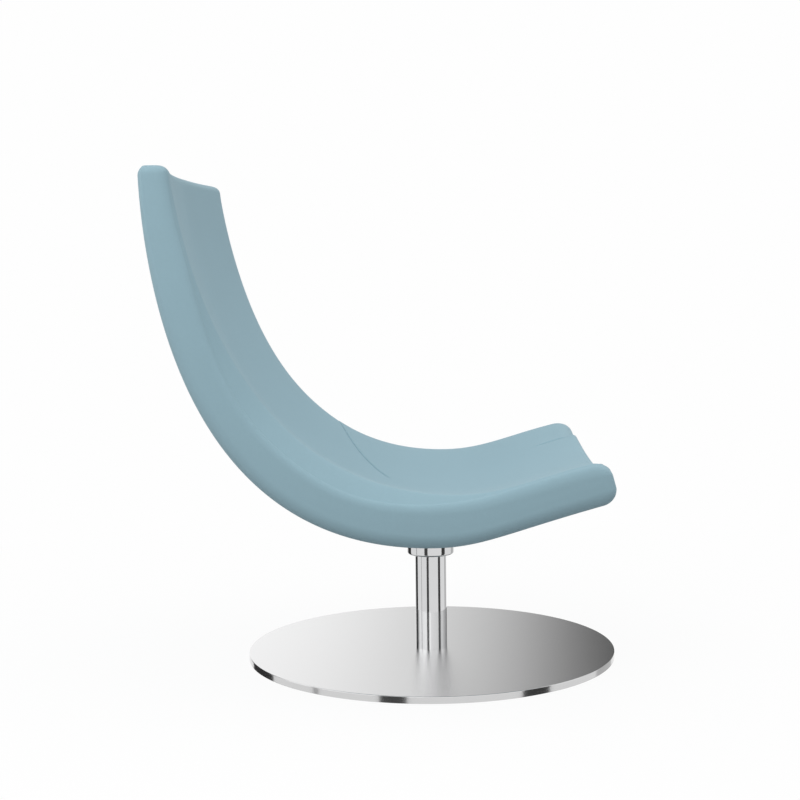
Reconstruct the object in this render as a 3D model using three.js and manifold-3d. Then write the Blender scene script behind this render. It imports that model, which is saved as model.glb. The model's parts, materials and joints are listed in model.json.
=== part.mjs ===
// Pedestal swivel armchair: a one-piece upholstered shell that turns on a round column and a disc base.
// Millimetres, +Z up. The chair faces -Y, and the origin is on the column's axis at floor level.
import * as THREE from 'three';
import { mergeVertices } from 'three/addons/utils/BufferGeometryUtils.js';
import Module from 'manifold-3d';

const wasm = await Module();
wasm.setup();

// Clearances
const gap = 0.3;             // between pieces that rest on or sit in each other
const collarGap = 1;         // between the turning collar and the fixed column
const overrun = 20;          // how far a cutting solid reaches past what it cuts

// Upholstered shell seen from the side: the line of its back and underside
const overallHeight = 916;
const shellWidth = 710;
const backReach = 486;       // rear face behind the column axis, at the top
const backLean = 1;          // degrees
const backHandle = 147;
const underHeight = 268;     // lowest line of the underside at its long edges
const underShift = -2;       // that line, ahead of the column axis
const underRearHandle = 442;
const underFrontHandle = 90;
const frontReach = 318;
const frontUnderHeight = 343;
const frontRise = 15;        // degrees
const frontHandle = 205;

// The line along the top of the two rims
const topThickness = 52;
const rimLean = 7.5;         // degrees
const rimTopHandle = 224;
const seatThickness = 89;
const rimLowShift = 34;      // lowest point of the rims, ahead of the column axis
const rimRearHandle = 343;
const rimFrontHandle = 73;
const frontThickness = 78;
const rimFrontRise = 13;     // degrees
const rimEndHandle = 102;

// Across the shell
const rimRadius = 25;        // from the side face over to the rim's top
const underRadius = 32;      // from the side face round to the underside
const endSideRadius = 24;    // side faces into the top and front ends
const endUnderRadius = 20;
const endRimRadius = 28;
const backDish = 28;         // how far the sitting surface dips between the rims, at the top
const seatDish = 40;         // the same at the front edge
const backCrown = 5;         // the back cover's bulge
const frontBow = 8;          // how far the front edge swells forward in the middle
const frontBowLength = 90;

// Upholstery layers, from the back cover to the sitting side
const clothThickness = 2;
const rearFoamThickness = 4;
const plywoodThickness = 9;
const plywoodSideInset = 45; // plywood edge to the shell's side faces
const plywoodInset = 30;     // the same to the shell's two ends
const coverSeamInset = 45;   // seam of the back cover to the side faces
const coverSeamEnd = 26;     // the same to the shell's two ends
const coverSeamDepth = 8;
const bolsterWidth = 85;
const foamSplitShare = 0.6;  // place of the joint between back foam and seat foam along the shell

// Base
const baseDiameter = 700;
const padThickness = 1.5;
const padInset = 4;
const weightThickness = 9.5;
const coverSheet = 1.5;
const coverEdge = 0.9;
const coverFloorGap = 0.8;
const coverHoleRadius = 22;

// Column
const columnDiameter = 60;
const columnWall = 2.5;
const columnTop = 222;
const plugHeight = 20;
const screwCount = 3;
const screwRadius = 4;
const screwHeadRadius = 8;
const screwHeadHeight = 4.4;
const screwCircleRadius = 13;
const screwLength = 26;

// Swivel
const spindleRadius = 12.5;
const housingDepth = 112;
const housingFlange = 4;
const bushWall = 5;
const bushLength = 24;
const bushFlangeRadius = 22;
const bushFlange = 3;
const raceInnerRadius = 14;
const raceOuterRadius = 26;
const raceThickness = 2.5;
const ballRadius = 2.5;
const ballCount = 8;
const cageThickness = 2;
const spindleHeadRadius = 28;
const retainerRadius = 19;
const retainerThickness = 3;
const spindleProud = 0.6;    // spindle end below the lower bush, so that it turns freely
const retainerBoltLength = 20;

// Collar
const collarDiameter = 90;
const collarWall = 2.5;
const collarBottom = 195;
const collarLip = 6;
const collarEdgeRadius = 4;

// Mounting plate and its fixings
const plateWidth = 180;
const plateDepth = 130;
const plateThickness = 5;
const plateCornerRadius = 12;
const boltSpacingX = 140;
const boltSpacingY = 90;
const boltRadius = 4;
const boltHeadRadius = 7.5;
const boltHeadHeight = 5.3;
const boltProud = 3;         // bolt end above the threaded insert
const boltRelief = 1;        // foam clear of the bolt's end
const washerRadius = 8.5;
const washerThickness = 1.6;
const spacerRadius = 9;
const insertFlangeRadius = 11;
const insertFlange = 1.5;
const insertBarrelRadius = 5.5;
const insertBarrelLength = 8;

// Facets of round pieces
const discSides = 72;
const tubeSides = 36;
const smallSides = 16;
const hexSides = 6;
const ballSides = 8;
const ballRows = 6;

// Facets of the shell
const stationCount = 17;
const walkSteps = 400;
const bendLengthShare = 0.6; // share of the shell's length that one radian of bend counts for
const endTurns = [70, 36, 0];   // degrees round the ends' edges
const arcShares = [0, 1 / 3, 2 / 3, 1];
const flatShares = [0, 0.5];
const dishShares = [0.84, 0.58, 0.29, 0];
const cornerLimitShare = 0.44;
const endLimitShare = 0.82;
const pastEndShare = 0.1;

const finishes = {
  stainless: { color: 0xd2d3d4, roughness: 0.22, metalness: 1 },
  chrome: { color: 0xdadcdd, roughness: 0.06, metalness: 1 },
  steel: { color: 0x8d9094, roughness: 0.45, metalness: 1 },
  blackSteel: { color: 0x2c2d2f, roughness: 0.6, metalness: 0.4 },
  nylon: { color: 0xe4e2da, roughness: 0.55, metalness: 0 },
  felt: { color: 0x3a3b3d, roughness: 0.95, metalness: 0 },
  plywood: { color: 0xc79f6b, roughness: 0.7, metalness: 0 },
  foam: { color: 0xe9e1c2, roughness: 0.95, metalness: 0 },
  cloth: { color: 0x8caab5, roughness: 0.9, metalness: 0 },
};

const chair = new THREE.Group();

function addPiece(name, geometry, finish) {
  const mesh = new THREE.Mesh(geometry, new THREE.MeshStandardMaterial(finishes[finish]));
  mesh.name = name;
  chair.add(mesh);
  return mesh;
}

// Solids and booleans

function toSolid(geometry) {
  const bare = geometry.clone();
  bare.deleteAttribute('normal');
  bare.deleteAttribute('uv');
  const merged = mergeVertices(bare);
  return new wasm.Manifold(new wasm.Mesh({
    numProp: 3,
    vertProperties: new Float32Array(merged.attributes.position.array),
    triVerts: new Uint32Array(merged.index.array),
  }));
}

function toGeometry(solid) {
  const mesh = solid.getMesh();
  const geometry = new THREE.BufferGeometry();
  geometry.setAttribute('position', new THREE.BufferAttribute(new Float32Array(mesh.vertProperties), 3));
  geometry.setIndex(new THREE.BufferAttribute(new Uint32Array(mesh.triVerts), 1));
  geometry.computeVertexNormals();
  return geometry;
}

// A turned piece about Z from [radius, height] points, listed with the material on their left
function turned(points, sides) {
  const profile = points.map(([radius, height]) => new THREE.Vector2(radius, height));
  const geometry = new THREE.LatheGeometry(profile, sides);
  geometry.rotateX(Math.PI / 2);
  return geometry;
}

function ring(innerRadius, outerRadius, bottom, top, sides) {
  return turned([
    [innerRadius, bottom],
    [outerRadius, bottom],
    [outerRadius, top],
    [innerRadius, top],
    [innerRadius, bottom],
  ], sides);
}

function disc(radius, bottom, top, sides) {
  return turned([[0, bottom], [radius, bottom], [radius, top], [0, top]], sides);
}

// The shell's side lines, as points (reach forward, height)

function sideLine({ start, startLean, startHandle, low, rearHandle, foreHandle, endHandle, endRise, end }) {
  const lean = THREE.MathUtils.degToRad(startLean);
  const rise = THREE.MathUtils.degToRad(endRise);
  const down = new THREE.Vector2(Math.sin(lean), -Math.cos(lean));
  const along = new THREE.Vector2(Math.cos(rise), Math.sin(rise));
  const path = new THREE.CurvePath();
  path.add(new THREE.CubicBezierCurve(
    start,
    start.clone().addScaledVector(down, startHandle),
    new THREE.Vector2(low.x - rearHandle, low.y),
    low,
  ));
  path.add(new THREE.CubicBezierCurve(
    low,
    new THREE.Vector2(low.x + foreHandle, low.y),
    end.clone().addScaledVector(along, -endHandle),
    end,
  ));
  return path;
}

const frontRiseAngle = THREE.MathUtils.degToRad(frontRise);
const underLine = sideLine({
  start: new THREE.Vector2(-backReach, overallHeight),
  startLean: backLean,
  startHandle: backHandle,
  low: new THREE.Vector2(underShift, underHeight),
  rearHandle: underRearHandle,
  foreHandle: underFrontHandle,
  endHandle: frontHandle,
  endRise: frontRise,
  end: new THREE.Vector2(frontReach, frontUnderHeight),
});
const rimLine = sideLine({
  start: new THREE.Vector2(-backReach + topThickness, overallHeight),
  startLean: rimLean,
  startHandle: rimTopHandle,
  low: new THREE.Vector2(rimLowShift, underHeight + seatThickness),
  rearHandle: rimRearHandle,
  foreHandle: rimFrontHandle,
  endHandle: rimEndHandle,
  endRise: rimFrontRise,
  end: new THREE.Vector2(
    frontReach - frontThickness * Math.sin(frontRiseAngle),
    frontUnderHeight + frontThickness * Math.cos(frontRiseAngle),
  ),
});
const shellLength = (underLine.getLength() + rimLine.getLength()) / 2;
const halfWidth = shellWidth / 2;
const crestReach = halfWidth - rimRadius;
const plywoodWidth = shellWidth - 2 * plywoodSideInset;

// Places along the shell, in shares of its length, closer together where its line bends
function bendShares() {
  const marks = [];
  let walked = 0;
  for (let step = 0; step <= walkSteps; step += 1) {
    const share = step / walkSteps;
    const tangent = underLine.getTangent(share);
    const before = underLine.getTangent(Math.max(0, share - 1 / walkSteps));
    walked += bendLengthShare * Math.abs(before.cross(tangent)) + 1 / walkSteps;
    marks.push({ share, walked });
  }
  const shares = [];
  for (let index = 1; index < stationCount; index += 1) {
    const target = walked * index / stationCount;
    shares.push(marks.find((mark) => mark.walked >= target).share);
  }
  return shares;
}

const stations = bendShares();

function stationsBetween(from, to) {
  return stations.filter((share) => share > from + gap / shellLength && share < to - gap / shellLength);
}

// The shell's frame at a place along it: 0 at the top end and 1 at the front end
function station(share) {
  const place = THREE.MathUtils.clamp(share, 0, 1);
  const under = underLine.getPoint(place);
  const rim = rimLine.getPoint(place);
  const thickness = under.distanceTo(rim);
  const outward = rim.clone().sub(under).divideScalar(thickness);
  const forward = new THREE.Vector2(outward.y, -outward.x);
  under.addScaledVector(forward, (share - place) * shellLength);
  return { share: place, under, thickness, outward, forward };
}

function bowAt(place, across) {
  const nearFront = Math.max(0, 1 - (1 - place.share) * shellLength / frontBowLength);
  const middle = Math.max(0, 1 - (across / crestReach) ** 2);
  return frontBow * middle * nearFront ** 2;
}

// A point from its place along, across and above the underside line
function shellPoint(place, across, level) {
  const spot = place.under.clone().addScaledVector(place.outward, level);
  spot.addScaledVector(place.forward, bowAt(place, across));
  return new THREE.Vector3(across, -spot.x, spot.y);
}

function sittingDrop(place, across) {
  const depth = THREE.MathUtils.lerp(backDish, seatDish, place.share);
  return depth * (1 - Math.min(1, Math.abs(across) / crestReach) ** 2);
}

// Loft through closed outlines of [across, level] points, one outline per place, with a cap's
// triangles for each end
function loft(sections, toPoint, firstCap, lastCap) {
  const count = sections[0].outline.length;
  const points = sections.flatMap(({ place, outline }) => (
    outline.map(([across, level]) => toPoint(place, across, level))
  ));
  const faces = [];
  for (let row = 0; row < sections.length - 1; row += 1) {
    for (let column = 0; column < count; column += 1) {
      const next = (column + 1) % count;
      const a = row * count + column;
      const b = row * count + next;
      const c = a + count;
      const d = b + count;
      if (column < count / 2) {
        faces.push(a, b, d, a, d, c);
      } else {
        faces.push(a, b, c, b, d, c);
      }
    }
  }
  const lastRow = points.length - count;
  for (const [p, q, r] of firstCap) {
    faces.push(p, r, q);
  }
  for (const [p, q, r] of lastCap) {
    faces.push(lastRow + p, lastRow + q, lastRow + r);
  }
  const geometry = new THREE.BufferGeometry();
  geometry.setFromPoints(points);
  geometry.setIndex(faces);
  return geometry;
}

// Triangles over an end, between the points of the underside and those of the sitting side
function capTriangles(half) {
  const last = half.length - 1;
  const mirrored = (index) => (2 * last - index) % (2 * last);
  const triangles = [];
  let under = 0;
  let over = last;
  while (under + 1 < over) {
    const stepsUnder = half[under + 1][0] <= half[over - 1][0];
    const next = stepsUnder ? under + 1 : over - 1;
    triangles.push([under, next, over]);
    triangles.push([mirrored(under), mirrored(over), mirrored(next)]);
    under = stepsUnder ? next : under;
    over = stepsUnder ? over : next;
  }
  return triangles;
}

// Half of the cross-section, from the middle of the underside to the middle of the sitting side
function halfSection(place, layer, roundShare) {
  const { thickness } = place;
  const sideInset = layer + (endSideRadius - layer) * roundShare;
  const underCorner = Math.min(underRadius, cornerLimitShare * thickness);
  const rimCorner = Math.min(rimRadius, cornerLimitShare * thickness);
  const underFlat = halfWidth - underCorner;
  const endInset = (radius, across) => {
    const room = endLimitShare * (thickness - sittingDrop(place, across));
    const fitting = radius * Math.min(1, room / (endUnderRadius + endRimRadius));
    return layer + (fitting - layer) * roundShare;
  };
  const points = [];
  for (const share of flatShares) {
    const across = share * underFlat;
    const crown = backCrown * (1 - share ** 2) * (1 - roundShare);
    points.push([across, endInset(endUnderRadius, across) - crown]);
  }
  const underInset = endInset(endUnderRadius, underFlat);
  for (const share of arcShares) {
    const angle = share * Math.PI / 2;
    points.push([
      underFlat + (underCorner - sideInset) * Math.sin(angle),
      underCorner - (underCorner - underInset) * Math.cos(angle),
    ]);
  }
  const rimInset = endInset(endRimRadius, crestReach);
  const rimSpan = halfWidth - crestReach - sideInset;
  for (const share of arcShares) {
    const angle = share * Math.PI / 2;
    points.push([
      crestReach + rimSpan * Math.cos(angle),
      thickness - rimCorner + (rimCorner - Math.min(rimInset, rimCorner - gap)) * Math.sin(angle),
    ]);
  }
  const crest = points[points.length - 1];
  for (const share of dishShares) {
    const across = share * crestReach;
    const level = thickness - sittingDrop(place, across) - endInset(endRimRadius, across);
    points.push([across, Math.min(level, crest[1])]);
  }
  return points;
}

function section(place, layer, roundShare) {
  const half = halfSection(place, layer, roundShare);
  const mirrored = half.slice(1, -1).reverse().map(([across, level]) => [-across, level]);
  return [...half, ...mirrored];
}

// The whole upholstered shape, or the shape that lies a layer's depth inside it
function shellLayer(layer) {
  const rings = [];
  const endLength = endSideRadius - layer;
  const steepest = Math.sin(THREE.MathUtils.degToRad(endTurns[0]));
  for (const turn of endTurns) {
    const angle = THREE.MathUtils.degToRad(turn);
    const inset = layer + endLength * (1 - Math.sin(angle) / steepest);
    rings.push({ inset, roundShare: 1 - Math.cos(angle) });
  }
  const places = rings.map(({ inset, roundShare }) => ({ share: inset / shellLength, roundShare }));
  const first = endSideRadius / shellLength;
  for (const share of stationsBetween(first, 1 - first)) {
    places.push({ share, roundShare: 0 });
  }
  for (const { inset, roundShare } of rings.slice().reverse()) {
    places.push({ share: 1 - inset / shellLength, roundShare });
  }
  const sections = places.map(({ share, roundShare }) => {
    const place = station(share);
    return { place, outline: section(place, layer, roundShare) };
  });
  const caps = [0, 1].map((share) => capTriangles(halfSection(station(share), 0, rings[0].roundShare)));
  return loft(sections, shellPoint, ...caps);
}

// A slab that follows the shell: places in shares of its length, levels above the underside line
function shellSheet(from, to, low, high, width) {
  const outline = [[-width / 2, low], [width / 2, low], [width / 2, high], [-width / 2, high]];
  const shares = [from, ...stationsBetween(from, to), to];
  const cap = [[0, 1, 2], [0, 2, 3]];
  return loft(shares.map((share) => ({ place: station(share), outline })), flatPoint, cap, cap);
}

function flatPoint(place, across, level) {
  const spot = place.under.clone().addScaledVector(place.outward, level);
  return new THREE.Vector3(across, -spot.x, spot.y);
}

// Heights of a level of the shell over a strip of the floor plan, at the strip's edges and at each
// station between them
function heightsOver(frontY, rearY, level) {
  const line = [0, ...stations, 1].map((share) => flatPoint(station(share), 0, level));
  const edges = [frontY, rearY].map((y) => {
    const index = line.findIndex((point) => point.y < y);
    const behind = line[index - 1];
    const ahead = line[index];
    return THREE.MathUtils.lerp(behind.z, ahead.z, (behind.y - y) / (behind.y - ahead.y));
  });
  const between = line.filter((point) => point.y > frontY && point.y < rearY);
  return [...edges, ...between.map((point) => point.z)];
}

// Levels of the layers above the underside line
const rearFoamBottom = clothThickness + gap;
const plywoodBottom = rearFoamBottom + rearFoamThickness + gap;
const plywoodTop = plywoodBottom + plywoodThickness;

// Heights of the base
const weightBottom = padThickness + gap;
const weightTop = weightBottom + weightThickness;
const discTop = weightTop + gap + coverSheet;
const baseRadius = baseDiameter / 2;
const columnRadius = columnDiameter / 2;
const columnBottom = discTop + gap;

// Heights of the swivel
const housingTop = columnTop + gap + housingFlange;
const housingBottom = housingTop - housingDepth;
const lowerRaceBottom = housingTop + gap;
const ballsBottom = lowerRaceBottom + raceThickness + gap;
const upperRaceBottom = ballsBottom + 2 * ballRadius + gap;
const spindleShoulder = upperRaceBottom + raceThickness + gap;
const lowerBushBottom = housingBottom - gap - bushFlange;
const spindleBottom = lowerBushBottom - spindleProud;
const plateTop = Math.min(...heightsOver(-plateDepth / 2, plateDepth / 2, -backCrown)) - gap;
const plateBottom = plateTop - plateThickness;
const headTop = plateBottom - gap;

function screwPoints(index) {
  const angle = Math.PI / 2 + index * 2 * Math.PI / screwCount;
  return [screwCircleRadius * Math.cos(angle), screwCircleRadius * Math.sin(angle)];
}

// A countersunk screw, or with a clearance the hole that it goes in
function countersunk(clearance) {
  const bottom = weightBottom + gap - clearance;
  const neck = weightBottom + gap + screwHeadHeight;
  return turned([
    [0, bottom],
    [screwHeadRadius + clearance, bottom],
    [screwRadius + clearance, neck],
    [screwRadius + clearance, bottom + screwLength + 2 * clearance],
    [0, bottom + screwLength + 2 * clearance],
  ], smallSides);
}

function buildBase() {
  addPiece('floor_pad', disc(baseRadius - padInset, 0, padThickness, discSides), 'felt');

  let weight = toSolid(disc(baseRadius - coverSheet - gap, weightBottom, weightTop, discSides));
  const plugRadius = columnRadius - columnWall - gap;
  let plug = toSolid(turned([
    [0, weightTop + gap],
    [coverHoleRadius - gap, weightTop + gap],
    [coverHoleRadius - gap, columnBottom],
    [plugRadius, columnBottom],
    [plugRadius, columnBottom + plugHeight],
    [0, columnBottom + plugHeight],
  ], tubeSides));
  for (let index = 0; index < screwCount; index += 1) {
    const [x, y] = screwPoints(index);
    const cutter = toSolid(countersunk(gap).translate(x, y, 0));
    const mouth = disc(screwHeadRadius + gap, -overrun, weightBottom + gap, smallSides);
    weight = weight.subtract(cutter).subtract(toSolid(mouth.translate(x, y, 0)));
    plug = plug.subtract(cutter);
    const screw = addPiece(`column_screw_${index + 1}`, countersunk(0), 'steel');
    screw.position.set(x, y, 0);
  }
  addPiece('base_weight_plate', toGeometry(weight), 'blackSteel');
  addPiece('column_foot_plug', toGeometry(plug), 'steel');

  const innerTop = discTop - coverSheet;
  const innerRadius = baseRadius - coverSheet;
  addPiece('base_cover', turned([
    [coverHoleRadius, innerTop],
    [innerRadius, innerTop],
    [innerRadius, coverFloorGap],
    [baseRadius, coverFloorGap],
    [baseRadius, discTop - coverEdge],
    [baseRadius - coverEdge / 3, discTop - coverEdge / 3],
    [baseRadius - coverEdge, discTop],
    [coverHoleRadius, discTop],
    [coverHoleRadius, innerTop],
  ], discSides), 'stainless');
}

function buildColumn() {
  const inner = columnRadius - columnWall;
  addPiece('column_tube', ring(inner, columnRadius, columnBottom, columnTop, tubeSides), 'chrome');

  const housingRadius = inner - gap;
  const bushRadius = spindleRadius + gap + bushWall;
  const seatRadius = bushRadius + gap;
  const waistRadius = spindleRadius + bushWall / 2;
  addPiece('bearing_housing', turned([
    [seatRadius, housingBottom],
    [housingRadius, housingBottom],
    [housingRadius, columnTop + gap],
    [columnRadius, columnTop + gap],
    [columnRadius, housingTop],
    [seatRadius, housingTop],
    [seatRadius, housingTop - bushLength - gap],
    [waistRadius, housingTop - bushLength - gap],
    [waistRadius, housingBottom + bushLength + gap],
    [seatRadius, housingBottom + bushLength + gap],
    [seatRadius, housingBottom],
  ], tubeSides), 'steel');

  const bore = spindleRadius + gap;
  addPiece('upper_bush', ring(bore, bushRadius, housingTop - bushLength, housingTop, tubeSides), 'nylon');
  addPiece('lower_bush', turned([
    [bore, lowerBushBottom],
    [bushFlangeRadius, lowerBushBottom],
    [bushFlangeRadius, lowerBushBottom + bushFlange],
    [bushRadius, lowerBushBottom + bushFlange],
    [bushRadius, housingBottom + bushLength],
    [bore, housingBottom + bushLength],
    [bore, lowerBushBottom],
  ], tubeSides), 'nylon');

  const raceTop = lowerRaceBottom + raceThickness;
  const lowerRace = ring(raceInnerRadius, raceOuterRadius, lowerRaceBottom, raceTop, tubeSides);
  addPiece('thrust_lower_race', lowerRace, 'steel');
  addPiece('thrust_ball_ring', thrustBallRing(), 'steel');
}

function thrustBallRing() {
  const middle = ballsBottom + ballRadius;
  const cageLow = middle - cageThickness / 2;
  const cageHigh = middle + cageThickness / 2;
  let ringSolid = toSolid(ring(raceInnerRadius, raceOuterRadius, cageLow, cageHigh, smallSides));
  const circle = (raceInnerRadius + raceOuterRadius) / 2;
  for (let index = 0; index < ballCount; index += 1) {
    const angle = (index + 0.5) * 2 * Math.PI / ballCount;
    const ball = new THREE.SphereGeometry(ballRadius, ballSides, ballRows);
    ball.rotateX(Math.PI / 2);
    ball.translate(circle * Math.cos(angle), circle * Math.sin(angle), middle);
    ringSolid = ringSolid.add(toSolid(ball));
  }
  return toGeometry(ringSolid);
}

function buildSwivel() {
  const raceTop = upperRaceBottom + raceThickness;
  const upperRace = ring(raceInnerRadius, raceOuterRadius, upperRaceBottom, raceTop, tubeSides);
  addPiece('thrust_upper_race', upperRace, 'steel');

  const threadRadius = boltRadius + gap;
  addPiece('spindle', turned([
    [0, spindleBottom + retainerBoltLength + gap],
    [threadRadius, spindleBottom + retainerBoltLength + gap],
    [threadRadius, spindleBottom],
    [spindleRadius, spindleBottom],
    [spindleRadius, spindleShoulder],
    [spindleHeadRadius, spindleShoulder],
    [spindleHeadRadius, headTop],
    [0, headTop],
  ], tubeSides), 'steel');

  const retainerTop = spindleBottom - gap;
  const retainerBottom = retainerTop - retainerThickness;
  const retainer = ring(threadRadius, retainerRadius, retainerBottom, retainerTop, smallSides);
  addPiece('retaining_washer', retainer, 'steel');
  addPiece('retaining_bolt', hexBolt(retainerBottom - gap, spindleBottom + retainerBoltLength), 'steel');

  const innerRadius = collarDiameter / 2 - collarWall;
  const outerRadius = collarDiameter / 2;
  const lipRadius = columnRadius + collarGap;
  const collarTop = plateBottom - gap;
  const roundHalf = collarEdgeRadius * (1 - Math.SQRT1_2);
  const boreRadius = spindleHeadRadius + gap;
  addPiece('swivel_collar', turned([
    [lipRadius, collarBottom],
    [outerRadius - collarEdgeRadius, collarBottom],
    [outerRadius - roundHalf, collarBottom + roundHalf],
    [outerRadius, collarBottom + collarEdgeRadius],
    [outerRadius, collarTop],
    [boreRadius, collarTop],
    [boreRadius, collarTop - collarWall],
    [innerRadius, collarTop - collarWall],
    [innerRadius, collarBottom + collarLip],
    [lipRadius, collarBottom + collarLip],
    [lipRadius, collarBottom],
  ], tubeSides), 'chrome');
}

// A bolt that points up, its head below the given seat height
function hexBolt(seat, tip) {
  const head = disc(boltHeadRadius, seat - boltHeadHeight, seat, hexSides);
  const shank = disc(boltRadius, seat - boltHeadHeight / 2, tip, smallSides);
  return toGeometry(toSolid(head).add(toSolid(shank)));
}

function boltPlaces() {
  const places = [];
  for (const sideY of [-1, 1]) {
    for (const sideX of [-1, 1]) {
      places.push({ x: sideX * boltSpacingX / 2, y: sideY * boltSpacingY / 2 });
    }
  }
  return places;
}

// Lowest underside and highest top side of the plywood within a radius of a bolt
function plywoodSeats(place, radius) {
  const over = (level) => heightsOver(place.y - radius, place.y + radius, level);
  return { under: Math.min(...over(plywoodBottom)), top: Math.max(...over(plywoodTop)) };
}

function roundedPlate() {
  const x = plateWidth / 2;
  const y = plateDepth / 2;
  const r = plateCornerRadius;
  const outline = new THREE.Shape();
  outline.moveTo(-x + r, -y);
  outline.lineTo(x - r, -y);
  outline.absarc(x - r, -y + r, r, -Math.PI / 2, 0);
  outline.lineTo(x, y - r);
  outline.absarc(x - r, y - r, r, 0, Math.PI / 2);
  outline.lineTo(-x + r, y);
  outline.absarc(-x + r, y - r, r, Math.PI / 2, Math.PI);
  outline.lineTo(-x, -y + r);
  outline.absarc(-x + r, -y + r, r, Math.PI, 1.5 * Math.PI);
  for (const place of boltPlaces()) {
    const hole = new THREE.Path();
    hole.absarc(place.x, place.y, boltRadius + gap, 0, 2 * Math.PI, true);
    outline.holes.push(hole);
  }
  const plate = new THREE.ExtrudeGeometry(outline, {
    depth: plateThickness,
    bevelEnabled: false,
    curveSegments: 6,
  });
  plate.translate(0, 0, plateBottom);
  return plate;
}

function buildFixings() {
  addPiece('mounting_plate', roundedPlate(), 'blackSteel');
  const washerTop = plateBottom - gap;
  const washerBottom = washerTop - washerThickness;
  for (const [index, place] of boltPlaces().entries()) {
    const number = index + 1;
    const spacerTop = plywoodSeats(place, spacerRadius).under - gap;
    const flangeBottom = plywoodSeats(place, insertFlangeRadius).top + gap;
    const flangeTop = flangeBottom + insertFlange;
    const bore = boltRadius + gap;
    const pieces = [
      [`seat_bolt_${number}`, hexBolt(washerBottom - gap, flangeTop + boltProud), 'steel'],
      [`seat_washer_${number}`, ring(bore, washerRadius, washerBottom, washerTop, smallSides), 'steel'],
      [`seat_spacer_${number}`, ring(bore, spacerRadius, plateTop + gap, spacerTop, smallSides), 'steel'],
      [`threaded_insert_${number}`, turned([
        [bore, flangeTop - insertBarrelLength],
        [insertBarrelRadius, flangeTop - insertBarrelLength],
        [insertBarrelRadius, flangeBottom],
        [insertFlangeRadius, flangeBottom],
        [insertFlangeRadius, flangeTop],
        [bore, flangeTop],
        [bore, flangeTop - insertBarrelLength],
      ], smallSides), 'steel'],
    ];
    for (const [name, geometry, finish] of pieces) {
      addPiece(name, geometry, finish).position.set(place.x, place.y, 0);
    }
  }
}

// Round holes through a solid at the four bolts, between two heights
function drillAtBolts(solid, radius, bottom, top) {
  let drilled = solid;
  for (const place of boltPlaces()) {
    const drill = disc(radius, bottom(place), top(place), smallSides);
    drilled = drilled.subtract(toSolid(drill.translate(place.x, place.y, 0)));
  }
  return drilled;
}

function buildShell() {
  const below = () => plateBottom - overrun;
  const boltReach = insertFlange + boltProud + boltRelief;
  const above = (place) => plywoodSeats(place, insertFlangeRadius).top + boltReach;
  const inset = plywoodInset / shellLength;
  const gapShare = gap / shellLength;

  const plywood = toSolid(shellSheet(inset, 1 - inset, plywoodBottom, plywoodTop, plywoodWidth));
  const drilledPlywood = drillAtBolts(plywood, insertBarrelRadius + gap, below, above);
  addPiece('plywood_shell', toGeometry(drilledPlywood), 'plywood');

  const core = toSolid(shellLayer(clothThickness + gap));
  const rearTop = plywoodBottom - gap;
  const rearSlab = toSolid(shellSheet(inset, 1 - inset, -overrun, rearTop, plywoodWidth));
  const rearFoam = drillAtBolts(core.intersect(rearSlab), spacerRadius + gap, below, above);
  addPiece('rear_foam', toGeometry(rearFoam), 'foam');

  const pocketWidth = plywoodWidth + 2 * gap;
  const pocketTop = plywoodTop + gap;
  const pocket = shellSheet(inset - gapShare, 1 - inset + gapShare, -overrun, pocketTop, pocketWidth);
  const pocketSolid = toSolid(pocket);
  const bolsterReach = halfWidth - bolsterWidth;
  const tall = overallHeight + overrun;
  const wide = halfWidth + overrun;
  const slab = (from, to) => {
    const box = new THREE.BoxGeometry(to - from, 2 * tall, 2 * tall);
    box.translate((from + to) / 2, 0, 0);
    return toSolid(box);
  };
  const sidePiece = (from, to) => toGeometry(core.intersect(slab(from, to)).subtract(pocketSolid));
  addPiece('left_rim_foam', sidePiece(bolsterReach + gap, wide), 'foam');
  addPiece('right_rim_foam', sidePiece(-wide, -bolsterReach - gap), 'foam');

  const middle = core.intersect(slab(-bolsterReach, bolsterReach)).subtract(pocketSolid);
  const through = seatThickness + overrun;
  const upper = shellSheet(-pastEndShare, foamSplitShare - gapShare, -overrun, through, shellWidth);
  const lower = shellSheet(foamSplitShare, 1 + pastEndShare, -overrun, through, shellWidth);
  addPiece('back_foam', toGeometry(middle.intersect(toSolid(upper))), 'foam');
  const seatFoam = middle.intersect(toSolid(lower));
  const relieved = drillAtBolts(seatFoam, insertFlangeRadius + gap, below, above);
  addPiece('seat_foam', toGeometry(relieved), 'foam');

  const skin = toSolid(shellLayer(0)).subtract(toSolid(shellLayer(clothThickness)));
  const seamEnd = coverSeamEnd / shellLength;
  const seamWidth = shellWidth - 2 * coverSeamInset;
  const panel = toSolid(shellSheet(seamEnd, 1 - seamEnd, -overrun, coverSeamDepth, seamWidth));
  const opening = toSolid(shellSheet(
    seamEnd - gapShare,
    1 - seamEnd + gapShare,
    -overrun,
    coverSeamDepth + gap,
    seamWidth + 2 * gap,
  ));
  const backCover = drillAtBolts(skin.intersect(panel), spacerRadius + gap, below, above);
  addPiece('back_cover', toGeometry(backCover), 'cloth');
  addPiece('seat_cover', toGeometry(skin.subtract(opening)), 'cloth');
}

buildBase();
buildColumn();
buildSwivel();
buildFixings();
buildShell();

export default chair;
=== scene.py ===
"""Pedestal swivel armchair: an upholstered shell that turns on a chromed column over a steel disc.

Metres, +Z up. The chair faces -Y, and the origin is on the column's axis at floor level.
"""

import json
import math

import bpy
import numpy as np
from mathutils import Matrix, Vector


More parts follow.
